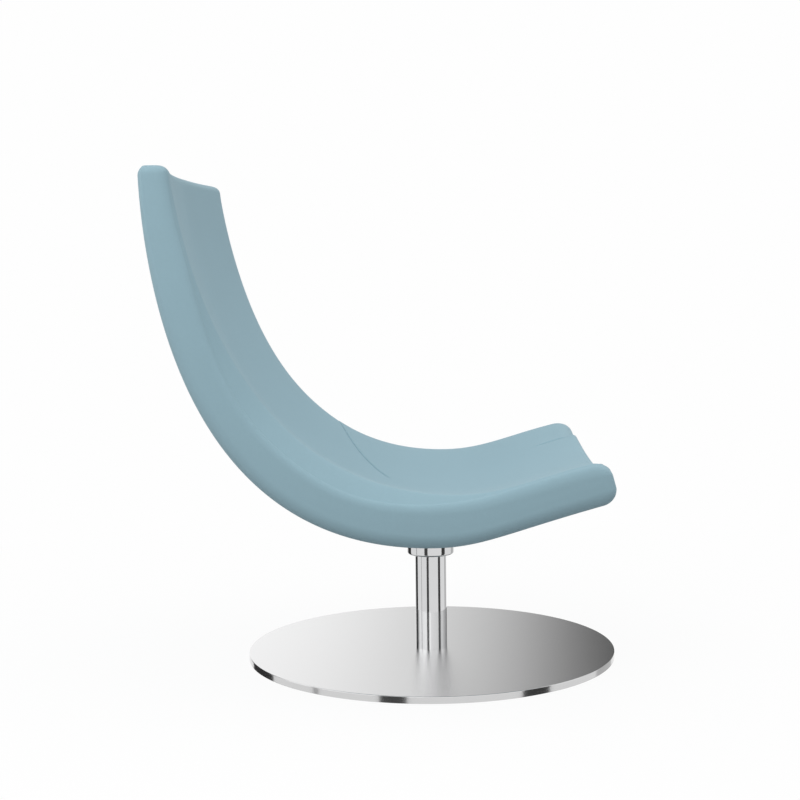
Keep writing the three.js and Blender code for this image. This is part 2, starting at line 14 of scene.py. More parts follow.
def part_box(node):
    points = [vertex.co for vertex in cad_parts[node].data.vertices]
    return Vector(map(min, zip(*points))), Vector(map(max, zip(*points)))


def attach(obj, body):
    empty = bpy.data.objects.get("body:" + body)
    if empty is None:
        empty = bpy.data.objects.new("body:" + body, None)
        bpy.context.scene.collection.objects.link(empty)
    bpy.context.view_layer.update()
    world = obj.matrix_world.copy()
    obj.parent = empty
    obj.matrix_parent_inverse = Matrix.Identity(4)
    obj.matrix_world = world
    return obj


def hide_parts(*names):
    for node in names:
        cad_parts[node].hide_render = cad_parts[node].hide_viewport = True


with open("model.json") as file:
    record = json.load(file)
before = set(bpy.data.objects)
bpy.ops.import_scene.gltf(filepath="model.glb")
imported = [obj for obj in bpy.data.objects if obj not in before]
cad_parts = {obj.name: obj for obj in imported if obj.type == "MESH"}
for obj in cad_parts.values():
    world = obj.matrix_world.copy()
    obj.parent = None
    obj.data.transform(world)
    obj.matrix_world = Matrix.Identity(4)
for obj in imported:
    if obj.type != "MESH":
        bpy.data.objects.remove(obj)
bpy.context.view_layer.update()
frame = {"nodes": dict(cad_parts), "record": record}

MM = 0.001


# The shell's two side lines: one along the under side, one along the crest of the rims.
# A reach is a distance in front of the column's axis, and a handle belongs to a Bezier curve.

cover_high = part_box("seat_cover")[1]
HALF_WIDTH = cover_high[0]
TOP_HEIGHT = cover_high[2]

BACK_REACH = 486 * MM        # rear face behind the axis, at the top
BACK_LEAN = math.radians(1)
BACK_HANDLE = 147 * MM
UNDER_HEIGHT = 265.5 * MM    # lowest point of the under side
UNDER_SHIFT = -2 * MM
UNDER_REAR_HANDLE = 442 * MM
UNDER_FORE_HANDLE = 90 * MM
FRONT_REACH = 318 * MM
FRONT_HEIGHT = 343 * MM
FRONT_RISE = math.radians(15)
FRONT_HANDLE = 205 * MM

TOP_THICKNESS = 51 * MM
RIM_LEAN = math.radians(7.8)
RIM_TOP_HANDLE = 203 * MM
SEAT_THICKNESS = 91.2 * MM
RIM_SHIFT = 39 * MM
RIM_REAR_HANDLE = 350 * MM
RIM_FORE_HANDLE = 88 * MM
FRONT_THICKNESS = 74.3 * MM
RIM_FRONT_RISE = math.radians(11.4)
RIM_END_HANDLE = 117 * MM

CURVE_POINTS = 400


def smooth(value, low, high):
    """0 at low, 1 at high, with an even start and finish."""
    share = np.clip((value - low) / (high - low), 0, 1)
    return share * share * (3 - 2 * share)


def bezier(points):
    share = np.linspace(0, 1, CURVE_POINTS)[:, None]
    a, b, c, d = (np.array(point, float) for point in points)
    rest = 1 - share
    return rest**3 * a + 3 * rest**2 * share * b + 3 * rest * share**2 * c + share**3 * d


class SideLine:
    """A line of (reach, height) from the top end to the front end, read by share of its length."""

    def __init__(
        self, start, lean, start_handle, low, rear_handle, fore_handle, end_handle, rise, end
    ):
        start, low, end = (np.array(point, float) for point in (start, low, end))
        down = np.array((math.sin(lean), -math.cos(lean)))
        along = np.array((math.cos(rise), math.sin(rise)))
        back = np.array((rear_handle, 0.0))
        fore = np.array((fore_handle, 0.0))
        first = bezier([start, start + start_handle * down, low - back, low])
        second = bezier([low, low + fore, end - end_handle * along, end])
        self.points = np.vstack([first, second[1:]])
        steps = np.hypot(*np.diff(self.points, axis=0).T)
        walked = np.concatenate([[0], np.cumsum(steps)])
        self.length = walked[-1]
        self.shares = walked / self.length

    def at(self, share):
        reach = np.interp(share, self.shares, self.points[:, 0])
        height = np.interp(share, self.shares, self.points[:, 1])
        return np.stack([reach, height], -1)


under_line = SideLine(
    (-BACK_REACH, TOP_HEIGHT), BACK_LEAN, BACK_HANDLE,
    (UNDER_SHIFT, UNDER_HEIGHT), UNDER_REAR_HANDLE, UNDER_FORE_HANDLE,
    FRONT_HANDLE, FRONT_RISE, (FRONT_REACH, FRONT_HEIGHT),
)
rim_line = SideLine(
    (-BACK_REACH + TOP_THICKNESS, TOP_HEIGHT), RIM_LEAN, RIM_TOP_HANDLE,
    (RIM_SHIFT, UNDER_HEIGHT + SEAT_THICKNESS), RIM_REAR_HANDLE, RIM_FORE_HANDLE,
    RIM_END_HANDLE, RIM_FRONT_RISE,
    (
        FRONT_REACH - FRONT_THICKNESS * math.sin(FRONT_RISE),
        FRONT_HEIGHT + FRONT_THICKNESS * math.cos(FRONT_RISE),
    ),
)
SHELL_LENGTH = (under_line.length + rim_line.length) / 2


# Form of the section. Shares run along the shell, from 0 at the top end to 1 at the front end.

UNDER_RADIUS = 28 * MM       # rounding between the under side and the side faces
UNDER_TOP_RADIUS = 11 * MM   # its height at the top end
UNDER_RADIUS_GROWTH = (0.02, 0.3)
UNDER_FLAT = HALF_WIDTH - UNDER_RADIUS
RIM_START = HALF_WIDTH - 60 * MM
SIDE_BULGE = 0.25 * MM
BACK_CROWN = 5 * MM
SEAT_CROWN = 2 * MM
CROWN_CHANGE = (0.4, 0.6)
BACK_DISH = 28 * MM
SEAT_DISH = 47 * MM
DISH_POWER = 1.75
SHOULDER_TOP_SHARE = 0.08
CORNER_LIMIT_SHARE = 0.44    # most that a rounding takes of the thickness

# Each of these has its value at the two ends of the shell, and at the bend
CREST_INSET = (18 * MM, 47 * MM)  # from the side face to the rims' highest line
SHOULDER_DROP = (2.5 * MM, 29.5 * MM)  # from that line down to the rims' outer edge
SHOULDER_EASE_SHARE = (0.25, 0.5)
EDGE_WIDTH = (12 * MM, 9 * MM)  # rounding between that edge and the side face
EDGE_HEIGHT = (22 * MM, 15 * MM)
DISH_EASE_SHARE = (0.06, 0.12)  # how soon the dish reaches its slope beside the rim

# Shares over which the bend sets in and ends
BEND_START = (0.13, 0.43)
BEND_FINISH = (0.56, 0.86)

# Roundings of the two ends, through the thickness and along the shell
TOP_REAR_CORNER = (18 * MM, 16 * MM)
TOP_FORE_CORNER = (15 * MM, 14 * MM)
TOP_SIDE_CORNER = (13 * MM, 15 * MM)
FRONT_UNDER_CORNER = (26 * MM, 26 * MM)
FRONT_RIM_CORNER = (23 * MM, 37 * MM)
FRONT_PANEL_CORNER = (8 * MM, 8 * MM)  # between the two seams of the seat
FRONT_SIDE_CORNER = (13 * MM, 16 * MM)
UNDER_CORNERS = (TOP_REAR_CORNER, FRONT_UNDER_CORNER)
RIM_CORNERS = (TOP_FORE_CORNER, FRONT_RIM_CORNER)
PANEL_CORNERS = (TOP_FORE_CORNER, FRONT_PANEL_CORNER)
END_LENGTH = 26 * MM         # over this length from each end the rows lie closer together
END_LIMIT_SHARE = 0.9        # most that two facing roundings take of the thickness


# Darts: one from each rim, at the bend

DART_REACH = HALF_WIDTH - 25 * MM  # their ends on the rims, off the centre line
DART_NOSE = 46 * MM          # their other ends
DART_RIM_SHARE = 0.52
DART_MIDDLE_SHARE = 0.695    # where they would meet on the centre line
DART_POWER = 0.8
DART_SPREAD = (0.06, 0.97)   # the rows between these shares bend with them
DART_FADE = (12 * MM, 32 * MM)  # they start at the crest of the rims
DART_NOSE_FADE = 20 * MM
DART_SWELL = 0.96 * MM       # the cloth in front of them
DART_SWELL_LENGTH = 22 * MM
DART_HOLLOW = 0.8 * MM       # the cloth behind them
DART_HOLLOW_LENGTH = 16 * MM
DART_DEPTH = 1.04 * MM
DART_HALF_WIDTH = 2 * MM

# Seams of the seat: two short ones, which end in notches of the front edge

PANEL_SEAM_REACH = 236 * MM  # off the centre line, at the front edge
PANEL_SEAM_DRIFT = 211 * MM  # how far they draw in over a full length of the shell
PANEL_DRIFT_SHARES = (0.7, 0.86)
PANEL_SEAM_SHARES = (0.905, 0.95)  # where they fade in
PANEL_EDGE = 2 * MM          # half the width over which the rounding of the front changes
PANEL_SWELL = 0.96 * MM      # the bolsters beside them
PANEL_SWELL_LENGTH = 18 * MM
PANEL_HOLLOW = 0.64 * MM     # the seat beside them
PANEL_HOLLOW_LENGTH = 16 * MM
PANEL_SEAM_DEPTH = 1.12 * MM
PANEL_END_RISE = 2.4 * MM    # at the front edge the seat stands proud of the bolsters instead
PANEL_END_SHARES = (0.98, 0.995)
NOTCH_DEPTH = 3 * MM         # how far the bolsters' ends stand back beside these seams
NOTCH_LENGTH = 45 * MM
NOTCH_HALF_WIDTH = 1.5 * MM
NOTCH_LEVELS = (15 * MM, 40 * MM)
NOTCH_REACH = 90 * MM        # how far along the shell they are felt

# Seam round the back panel

BACK_SEAM_REACH = HALF_WIDTH - 45 * MM
BACK_SEAM_END = 26 * MM
BACK_SEAM_DEPTH = 1.6 * MM
BACK_SEAM_FADE = 3 * MM
SEAM_HALF_WIDTH = 1.6 * MM


def fading(distance, length):
    """1 up to a distance of 0, and less and less beyond it."""
    return np.exp(-np.clip(distance, 0, None) / length)


def groove(distance, half_width):
    return np.exp(-((distance / half_width) ** 2))


def dart_share(across):
    """Place of the dart along the shell, for a distance from the centre line."""
    span = DART_MIDDLE_SHARE - DART_RIM_SHARE
    reach = np.clip(np.abs(across), DART_NOSE, DART_REACH)
    return DART_MIDDLE_SHARE - span * (reach / DART_REACH) ** DART_POWER


def dart_relief(row_share, column):
    """How far the darts raise the surface."""
    along = (row_share - DART_RIM_SHARE) * SHELL_LENGTH
    from_rim = smooth(DART_REACH - column, *DART_FADE)
    from_nose = smooth(column, DART_NOSE, DART_NOSE + DART_NOSE_FADE)
    swell = DART_SWELL * fading(along, DART_SWELL_LENGTH) * (along >= 0)
    hollow = DART_HOLLOW * fading(-along, DART_HOLLOW_LENGTH) * (along < 0)
    depth = DART_DEPTH * groove(along, DART_HALF_WIDTH)
    return from_rim * from_nose * (swell - hollow - depth)


def panel_relief(share, column):
    """How far the seat's two seams raise the surface."""
    beside = column - PANEL_SEAM_REACH
    outer = fading(beside, PANEL_SWELL_LENGTH) * (beside >= 0)
    inner = fading(-beside, PANEL_HOLLOW_LENGTH) * (beside < 0)
    at_end = smooth(share, *PANEL_END_SHARES)
    step = (PANEL_SWELL * outer - PANEL_HOLLOW * inner) * (1 - at_end)
    step = step + PANEL_END_RISE * inner * at_end
    depth = PANEL_SEAM_DEPTH * groove(beside, SEAM_HALF_WIDTH)
    return smooth(share, *PANEL_SEAM_SHARES) * (step - depth)


def corner_inset(share, top_corner, front_corner):
    """How far the rounding of the ends draws the surface in, at a place along the shell."""
    total = 0
    for from_end, (depth, length) in ((share, top_corner), (1 - share, front_corner)):
        inward = np.clip(1 - from_end * SHELL_LENGTH / length, 0, 1)
        total = total + depth * (1 - np.sqrt(1 - inward * inward))
    return total


def at_bend(share, values):
    """A size of the section, which goes from its value at the ends to that at the bend."""
    bend = smooth(share, *BEND_START) * (1 - smooth(share, *BEND_FINISH))
    return values[0] + (values[1] - values[0]) * bend


def shoulder(share):
    """How far the rims' outer edge lies below their crest."""
    return at_bend(share, SHOULDER_DROP) * smooth(share, 0, SHOULDER_TOP_SHARE)


def drop(share, across):
    """How far the surface lies below the crest of the rims, in the dish and on their shoulders."""
    depth = BACK_DISH + (SEAT_DISH - BACK_DISH) * share
    crest = HALF_WIDTH - at_bend(share, CREST_INSET)
    edge = HALF_WIDTH - at_bend(share, EDGE_WIDTH)
    inward = 1 - np.minimum(np.abs(across) / crest, 1)
    eased = inward * inward / (inward + at_bend(share, DISH_EASE_SHARE))
    outward = np.clip((np.abs(across) - crest) / (edge - crest), 0, 1)
    ease = at_bend(share, SHOULDER_EASE_SHARE)
    sloped = outward * outward / (outward + ease) * (1 + ease)
    return depth * (1 - (1 - eased) ** DISH_POWER) + shoulder(share) * sloped


class Stations:
    """Frames of the shell at given shares, one for each point of the grid."""

    def __init__(self, share):
        self.share = share
        self.under = under_line.at(share)
        span = rim_line.at(share) - self.under
        self.thickness = np.hypot(span[..., 0], span[..., 1])
        self.outward = span / self.thickness[..., None]
        self.forward = np.stack([self.outward[..., 1], -self.outward[..., 0]], -1)

    def set_back(self, across, level):
        """How far the bolsters' ends stand back beside the notches."""
        near_end = np.clip(1 - (1 - self.share) * SHELL_LENGTH / NOTCH_REACH, 0, 1) ** 2
        beyond = np.abs(across) - PANEL_SEAM_REACH
        depth = NOTCH_DEPTH * fading(beyond, NOTCH_LENGTH)
        depth = depth * smooth(beyond, -NOTCH_HALF_WIDTH, NOTCH_HALF_WIDTH)
        return depth * smooth(level, *NOTCH_LEVELS) * near_end

    def point(self, across, level):
        """A point by its distance from the centre line and its level above the under line."""
        set_back = self.set_back(across, level)
        spot = self.under + self.outward * level[..., None] - self.forward * set_back[..., None]
        return np.stack([across, -spot[..., 0], spot[..., 1]], -1)


def end_inset(stations, row_share, across, corners, facing):
    """The inset of the under or upper side, held back where the shell is thin."""
    room = END_LIMIT_SHARE * (stations.thickness - drop(stations.share, across))
    at_top, at_front = (own[0] + other[0] for own, other in zip(corners, facing))
    both = np.where(row_share < 0.5, at_top, at_front)
    return corner_inset(row_share, *corners) * np.minimum(1, room / both)


# The grid that covers the shell: rows along it, columns round half of its section

ROW_STEP = 3.6 * MM
UNDER_STEP = 9 * MM
SITTING_STEP = 6 * MM
RIM_STEP = 2 * MM
FINE_STEP = 0.7 * MM         # beside seams and edges
FINE_SPAN = 7 * MM
TOLERANCE = 1e-9
LAST_COLUMN = HALF_WIDTH - EDGE_WIDTH[1]
END_ROWS = 13
ARC_POINTS = 15
WALL_POINTS = 13
END_TURNS = np.radians(np.linspace(90, 0, END_ROWS))
ARC_TURNS = np.radians(np.linspace(0, 90, ARC_POINTS))
WALL_SHARES = np.linspace(0, 1, WALL_POINTS)[1:-1]


def spaced(start, end, step, marks):
    """Places from start to end, a step apart, and closer together round each mark."""
    places = [start]
    while places[-1] < end - TOLERANCE:
        here = places[-1]
        from_mark = min(abs(here - mark) for mark in marks)
        share = min(1, max(0, from_mark / FINE_SPAN - 1))
        places.append(min(end, here + FINE_STEP + (step - FINE_STEP) * share))
    return np.array(places)


UNDER_COLUMNS = spaced(0, UNDER_FLAT, UNDER_STEP, [BACK_SEAM_REACH])
SITTING_COLUMNS = np.concatenate([
    spaced(0, RIM_START, SITTING_STEP, [PANEL_SEAM_REACH]),
    spaced(RIM_START, LAST_COLUMN, RIM_STEP, [LAST_COLUMN])[1:],
])[::-1]


def grid_rows():
    """For each row: its place along the shell in shares."""
    marks = [DART_RIM_SHARE * SHELL_LENGTH, BACK_SEAM_END, SHELL_LENGTH - BACK_SEAM_END]
    middle = spaced(END_LENGTH, SHELL_LENGTH - END_LENGTH, ROW_STEP, marks)[1:-1]
    insets = END_LENGTH * (1 - np.sin(END_TURNS))
    return np.concatenate([insets, middle, SHELL_LENGTH - insets[::-1]]) / SHELL_LENGTH


class HalfSection:
    """The parts of the section, each as its stations, distances from the centre line and levels."""

    def __init__(self, share):
        self.share = share
        self.stations = Stations(share)
        limit = CORNER_LIMIT_SHARE * self.stations.thickness
        self.steady = smooth(np.minimum(share, 1 - share) * SHELL_LENGTH, 0, END_LENGTH)
        self.side = corner_inset(share, TOP_SIDE_CORNER, FRONT_SIDE_CORNER)
        growth = smooth(share, *UNDER_RADIUS_GROWTH)
        radius = UNDER_TOP_RADIUS + (UNDER_RADIUS - UNDER_TOP_RADIUS) * growth
        self.under_inset = self.inset(UNDER_FLAT, UNDER_CORNERS, RIM_CORNERS)
        self.wall_foot = np.minimum(np.maximum(radius, self.under_inset), limit)
        self.edge_width = at_bend(share, EDGE_WIDTH)
        self.edge_height = np.minimum(at_bend(share, EDGE_HEIGHT), limit)
        self.wall_head = self.stations.thickness - shoulder(share) - self.edge_height

    def inset(self, across, corners, facing):
        return end_inset(self.stations, self.share, across, corners, facing)

    def under_side(self):
        across = UNDER_COLUMNS + 0 * self.share
        crown = BACK_CROWN + (SEAT_CROWN - BACK_CROWN) * smooth(self.share, *CROWN_CHANGE)
        crown = crown * (1 - (UNDER_COLUMNS / UNDER_FLAT) ** 2) * self.steady
        return self.stations, across, self.inset(across, UNDER_CORNERS, RIM_CORNERS) - crown

    def under_edge(self):
        turns = ARC_TURNS[1:]
        across = UNDER_FLAT + (UNDER_RADIUS - self.side) * np.sin(turns)
        level = self.wall_foot - (self.wall_foot - self.under_inset) * np.cos(turns)
        return self.stations, across, level

    def side_face(self):
        bulge = SIDE_BULGE * np.sin(np.pi * WALL_SHARES) ** 2 * self.steady
        level = self.wall_foot + (self.wall_head - self.wall_foot) * WALL_SHARES
        return self.stations, HALF_WIDTH - self.side + bulge, level

    def rim_edge(self):
        turns = ARC_TURNS[:-1]
        inner = HALF_WIDTH - self.edge_width
        inset = np.minimum(self.inset(inner, RIM_CORNERS, UNDER_CORNERS), self.edge_height)
        across = inner - self.side + self.edge_width * np.cos(turns)
        return self.stations, across, self.wall_head + (self.edge_height - inset) * np.sin(turns)

    def sitting_side(self):
        share, column, seam = self.share, SITTING_COLUMNS, PANEL_SEAM_REACH
        bending = smooth(share, DART_SPREAD[0], DART_RIM_SHARE)
        bending = bending * smooth(-share, -DART_SPREAD[1], -DART_RIM_SHARE)
        warped = Stations(share + bending * (dart_share(column) - DART_RIM_SHARE))
        on_rim = np.clip((column - RIM_START) / (LAST_COLUMN - RIM_START), 0, 1)
        drawn = smooth(column, 0, seam) * (1 - smooth(column, seam, RIM_START))
        drift = PANEL_SEAM_DRIFT * (1 - warped.share) * smooth(share, *PANEL_DRIFT_SHARES)
        across = column - drawn * drift - (self.edge_width - EDGE_WIDTH[1]) * on_rim
        panel_inset = end_inset(warped, share, across, PANEL_CORNERS, UNDER_CORNERS)
        rim_inset = end_inset(warped, share, across, RIM_CORNERS, UNDER_CORNERS)
        outside = smooth(column, seam - PANEL_EDGE, seam + PANEL_EDGE)
        level = warped.thickness - drop(warped.share, across)
        level = level - panel_inset - (rim_inset - panel_inset) * outside
        relief = dart_relief(share, column) + panel_relief(warped.share, column)
        return warped, across - self.side * on_rim, level + relief * self.steady


def shell_grid(share):
    """Rows of closed loops round the shell, from the middle of the under side and back to it."""
    section = HalfSection(share[:, None])
    parts = [
        section.under_side(), section.under_edge(), section.side_face(),
        section.rim_edge(), section.sitting_side(),
    ]
    left, right = (
        np.concatenate([part.point(sign * across, level) for part, across, level in parts], axis=1)
        for sign in (1, -1)
    )
    return np.concatenate([left, right[:, -2:0:-1]], axis=1)


def press_back_seam(loop, share):
    """Presses the seam round the back panel into the under side."""
    count = loop.shape[1]
    reach = np.abs(loop[..., 0])
    from_end = np.minimum(share, 1 - share)[:, None] * SHELL_LENGTH
    in_length = smooth(from_end, BACK_SEAM_END - BACK_SEAM_FADE, BACK_SEAM_END)
    in_width = smooth(-reach, -BACK_SEAM_REACH - BACK_SEAM_FADE, -BACK_SEAM_REACH)
    pressed = np.maximum(
        in_length * groove(reach - BACK_SEAM_REACH, SEAM_HALF_WIDTH),
        in_width * groove(from_end - BACK_SEAM_END, SEAM_HALF_WIDTH),
    )
    column = np.arange(count)
    under_side = (column < len(UNDER_COLUMNS)) | (column > count - len(UNDER_COLUMNS))
    depth = BACK_SEAM_DEPTH * pressed * under_side
    outward = Stations(share[:, None] + 0 * reach).outward
    loop[..., 1] -= outward[..., 0] * depth
    loop[..., 2] += outward[..., 1] * depth


def cloth_places(loop, share):
    """Places on the cloth in metres: round the section, and along the shell."""
    steps = np.linalg.norm(np.diff(loop, axis=1), axis=2)
    round_way = np.pad(np.cumsum(steps, axis=1), ((0, 0), (1, 0)))
    along = np.broadcast_to(share[:, None] * SHELL_LENGTH, round_way.shape)
    return np.stack([round_way, along], -1).reshape(-1, 2)


def nearest(values, value):
    return int(np.argmin(np.abs(values - value)))


def cap_faces(first, across, reverse):
    """Triangles over an end, between the points of the under side and of the sitting side."""
    last = len(across) - 1
    faces = []
    under, over = 0, last
    while under + 1 < over:
        steps_under = across[under + 1] <= across[over - 1]
        middle = under + 1 if steps_under else over - 1
        corners = (under, middle, over)
        mirrored = tuple((2 * last - index) % (2 * last) for index in (under, over, middle))
        for face in (corners, mirrored):
            face = face[::-1] if reverse else face
            faces.append(tuple(first + index for index in face))
        if steps_under:
            under = middle
        else:
            over = middle
    return faces


def shell_faces(loop, share):
    """Faces of the cover and of the back panel, between the points of the grid."""
    row_count, count, _ = loop.shape
    along = share * SHELL_LENGTH
    first_row = nearest(along, BACK_SEAM_END)
    end_row = nearest(along, SHELL_LENGTH - BACK_SEAM_END)
    seam_column = nearest(loop[row_count // 2, :len(UNDER_COLUMNS), 0], BACK_SEAM_REACH)
    cover_faces, panel_faces = [], []
    for row in range(row_count - 1):
        here, there = row * count, (row + 1) * count
        for col in range(count):
            after = (col + 1) % count
            face = (here + col, here + after, there + after, there + col)
            in_columns = col < seam_column or col >= count - seam_column
            in_panel = in_columns and first_row <= row < end_row
            (panel_faces if in_panel else cover_faces).append(face)
    half = count // 2 + 1
    cover_faces += cap_faces(0, loop[0, :half, 0], True)
    cover_faces += cap_faces((row_count - 1) * count, loop[-1, :half, 0], False)
    return cover_faces, panel_faces


def build_mesh(name, points, faces, uv=None):
    used = sorted({index for face in faces for index in face})
    place = {index: number for number, index in enumerate(used)}
    corners = [[place[index] for index in face] for face in faces]
    mesh = bpy.data.meshes.new(name)
    mesh.from_pydata([tuple(points[index]) for index in used], [], corners)
    if uv is not None:
        layer = mesh.uv_layers.new(name="cloth")
        order = np.empty(len(mesh.loops), dtype=np.int32)
        mesh.loops.foreach_get("vertex_index", order)
        layer.data.foreach_set("uv", uv[np.array(used)][order].astype(np.float32).ravel())
    mesh.validate()
    mesh.shade_smooth()
    piece = bpy.data.objects.new(name, mesh)
    bpy.context.scene.collection.objects.link(piece)
    return piece


def build_shell(cloth):
    share = grid_rows()
    loop = shell_grid(share)
    press_back_seam(loop, share)
    points = loop.reshape(-1, 3)
    places = cloth_places(loop, share)
    pieces = []
    for name, faces in zip(("shell_cover", "back_panel"), shell_faces(loop, share)):
        piece = build_mesh(name, points, faces, places)
        piece.data.materials.append(cloth)
        pieces.append(piece)
    return pieces


# Materials. Colours are linear values.

CLOTH = (0.312, 0.47, 0.54)
STEEL = (0.62, 0.62, 0.622)
CHROME = (0.66, 0.662, 0.668)
PLYWOOD = (0.57, 0.35, 0.15)
METAL_TONES = (0.97, 1.03)
THREAD_PITCH = 1.25 * MM

# Colour, least and most roughness, scale of the grain, and metallic share
PLAIN_FINISHES = {
    "plain_steel": ((0.3, 0.31, 0.32), (0.3, 0.5), 300, 1.0),
    "black_steel": ((0.03, 0.03, 0.03), (0.45, 0.6), 900, 0.0),
    "nylon": ((0.77, 0.75, 0.69), (0.45, 0.6), 200, 0.0),
    "floor_pad": ((0.04, 0.04, 0.04), (0.8, 0.95), 1500, 0.0),
}


def new_material(name):
    material = bpy.data.materials.new(name)
    material.use_nodes = True
    return material, material.node_tree, material.node_tree.nodes["Principled BSDF"]


def set_inputs(node, values):
    for socket, value in values.items():
        node.inputs[socket].default_value = value


def math_node(tree, operation, *inputs):
    node = tree.nodes.new("ShaderNodeMath")
    node.operation = operation
    for index, value in enumerate(inputs):
        if isinstance(value, (int, float)):
            node.inputs[index].default_value = value
        else:
            tree.links.new(value, node.inputs[index])
    return node.outputs[0]


def weighted_sum(tree, start, *terms):
    """The start value, and each term's value times its weight."""
    total = start
    for value, weight in terms:
        total = math_node(tree, "MULTIPLY_ADD", value, weight, total)
    return total


def between(tree, value, low, high):
    """Takes a value of 0 to 1 to the range from low to high."""
    return weighted_sum(tree, low, (value, high - low))


def object_place(tree):
    return tree.nodes.new("ShaderNodeTexCoord").outputs["Object"]


def stretched(tree, place, scale):
    node = tree.nodes.new("ShaderNodeMapping")
    node.inputs["Scale"].default_value = scale
    tree.links.new(place, node.inputs["Vector"])
    return node.outputs["Vector"]


def noise_value(tree, place, scale, detail, roughness=0.5):
    node = tree.nodes.new("ShaderNodeTexNoise")
    set_inputs(node, {"Scale": scale, "Detail": detail, "Roughness": roughness})
    tree.links.new(place, node.inputs["Vector"])
    return node.outputs["Fac"]


def set_colour(tree, shader, colour, factor):
    """Gives the shader the colour multiplied by a varying factor."""
    node = tree.nodes.new("ShaderNodeVectorMath")
    node.operation = "SCALE"
    node.inputs[0].default_value = colour
    tree.links.new(factor, node.inputs["Scale"])
    tree.links.new(node.outputs[0], shader.inputs["Base Color"])


def add_bump(tree, shader, height, distance, strength):
    bump = tree.nodes.new("ShaderNodeBump")
    set_inputs(bump, {"Strength": strength, "Distance": distance})
    tree.links.new(height, bump.inputs["Height"])
    tree.links.new(bump.outputs["Normal"], shader.inputs["Normal"])


def woven_threads(tree, wobble):
    """A wave over the cloth in each of its two directions, multiplied."""
    places = tree.nodes.new("ShaderNodeUVMap")
    places.uv_map = "cloth"
    split = tree.nodes.new("ShaderNodeSeparateXYZ")
    tree.links.new(places.outputs["UV"], split.inputs[0])
    waves = []
    for way in ("X", "Y"):
        turns = math_node(tree, "MULTIPLY", split.outputs[way], 2 * math.pi / THREAD_PITCH)
        waves.append(math_node(tree, "SINE", math_node(tree, "ADD", turns, wobble)))
    return math_node(tree, "MULTIPLY", *waves)


def cloth_material():
    material, tree, shader = new_material("upholstery_cloth")
    place = object_place(tree)
    wobble = noise_value(tree, place, scale=900, detail=2.0)
    fuzz = noise_value(tree, place, scale=2600, detail=4.0, roughness=0.7)
    slub = noise_value(tree, place, scale=160, detail=3.0, roughness=0.6)
    broad = noise_value(tree, place, scale=7, detail=2.0)
    threads = woven_threads(tree, wobble)
    height = weighted_sum(tree, 0.0, (threads, 0.3), (fuzz, 0.8), (slub, 0.5))
    add_bump(tree, shader, height, distance=0.12 * MM, strength=0.8)
    tone = weighted_sum(tree, 0.9, (fuzz, 0.1), (threads, 0.02), (slub, 0.05), (broad, 0.05))
    set_colour(tree, shader, CLOTH, tone)
    tree.links.new(between(tree, slub, 0.85, 0.95), shader.inputs["Roughness"])
    set_inputs(shader, {"Specular IOR Level": 0.15, "Sheen Weight": 0.12, "Sheen Roughness": 0.5})
    return material


def brushed_steel_material():
    """Fine straight brushing along X, which spreads reflections across it."""
    material, tree, shader = new_material("brushed_stainless")
    place = stretched(tree, object_place(tree), (1.0, 60.0, 60.0))
    brushing = noise_value(tree, place, scale=25, detail=4.0, roughness=0.7)
    tree.links.new(between(tree, brushing, 0.16, 0.22), shader.inputs["Roughness"])
    set_colour(tree, shader, STEEL, between(tree, brushing, *METAL_TONES))
    tangent = tree.nodes.new("ShaderNodeCombineXYZ")
    tangent.inputs["Y"].default_value = 1.0
    tree.links.new(tangent.outputs[0], shader.inputs["Tangent"])
    set_inputs(shader, {"Metallic": 1.0, "Anisotropic": 0.98})
    return material


def plain_material(name, colour, roughness, grain_scale, metallic):
    """Metal, plastic, rubber or paint with a fine even grain."""
    material, tree, shader = new_material(name)
    grain = noise_value(tree, object_place(tree), grain_scale, detail=4.0, roughness=0.6)
    tree.links.new(between(tree, grain, *roughness), shader.inputs["Roughness"])
    set_colour(tree, shader, colour, between(tree, grain, *METAL_TONES))
    add_bump(tree, shader, grain, distance=0.02 * MM, strength=0.2)
    shader.inputs["Metallic"].default_value = metallic
    return material


def wood_material():
    material, tree, shader = new_material("plywood")
    place = stretched(tree, object_place(tree), (1.0, 12.0, 12.0))
    grain = noise_value(tree, place, scale=14, detail=6.0, roughness=0.6)
    set_colour(tree, shader, PLYWOOD, between(tree, grain, 0.75, 1.25))
    add_bump(tree, shader, grain, distance=0.1 * MM, strength=0.4)
    shader.inputs["Roughness"].default_value = 0.65
    return material


# Turned metal pieces

DISC_SIDES = 256
TUBE_SIDES = 128
SHARP_ANGLE = math.radians(32)
ROUNDING_STEPS = 5
WALL_SLOPE = 0.9             # faces steeper than this belong to the polished wall of the base

DISC_SHEET = 1.5 * MM
DISC_HOLE = 22 * MM
DISC_FOOT_ROUNDING = 0.4 * MM
DISC_EDGE_ROUNDING = 1.1 * MM

TUBE_WALL = 2.5 * MM
TUBE_GAP = 0.05 * MM         # between the column and the disc
TUBE_ROUNDING = 0.5 * MM
COLLAR_BORE = 28.3 * MM
COLLAR_LIP = 31 * MM
COLLAR_LIP_HEIGHT = 6 * MM
COLLAR_LIP_ROUNDING = 0.8 * MM
COLLAR_LOW_ROUNDING = 4 * MM


def turned(name, profile, sides):
    """A closed turned piece about Z, from (radius, height) points that go round its section."""
    angles = np.linspace(0, 2 * math.pi, sides, endpoint=False)
    points = [
        (radius * math.cos(angle), radius * math.sin(angle), height)
        for angle in angles
        for radius, height in profile
    ]
    count = len(profile)
    faces = []
    for side in range(sides):
        here, there = side * count, (side + 1) % sides * count
        for index in range(count):
            after = (index + 1) % count
            faces.append((here + index, there + index, there + after, here + after))
    piece = build_mesh(name, np.array(points), faces)
    piece.data.set_sharp_from_angle(angle=SHARP_ANGLE)
    return piece


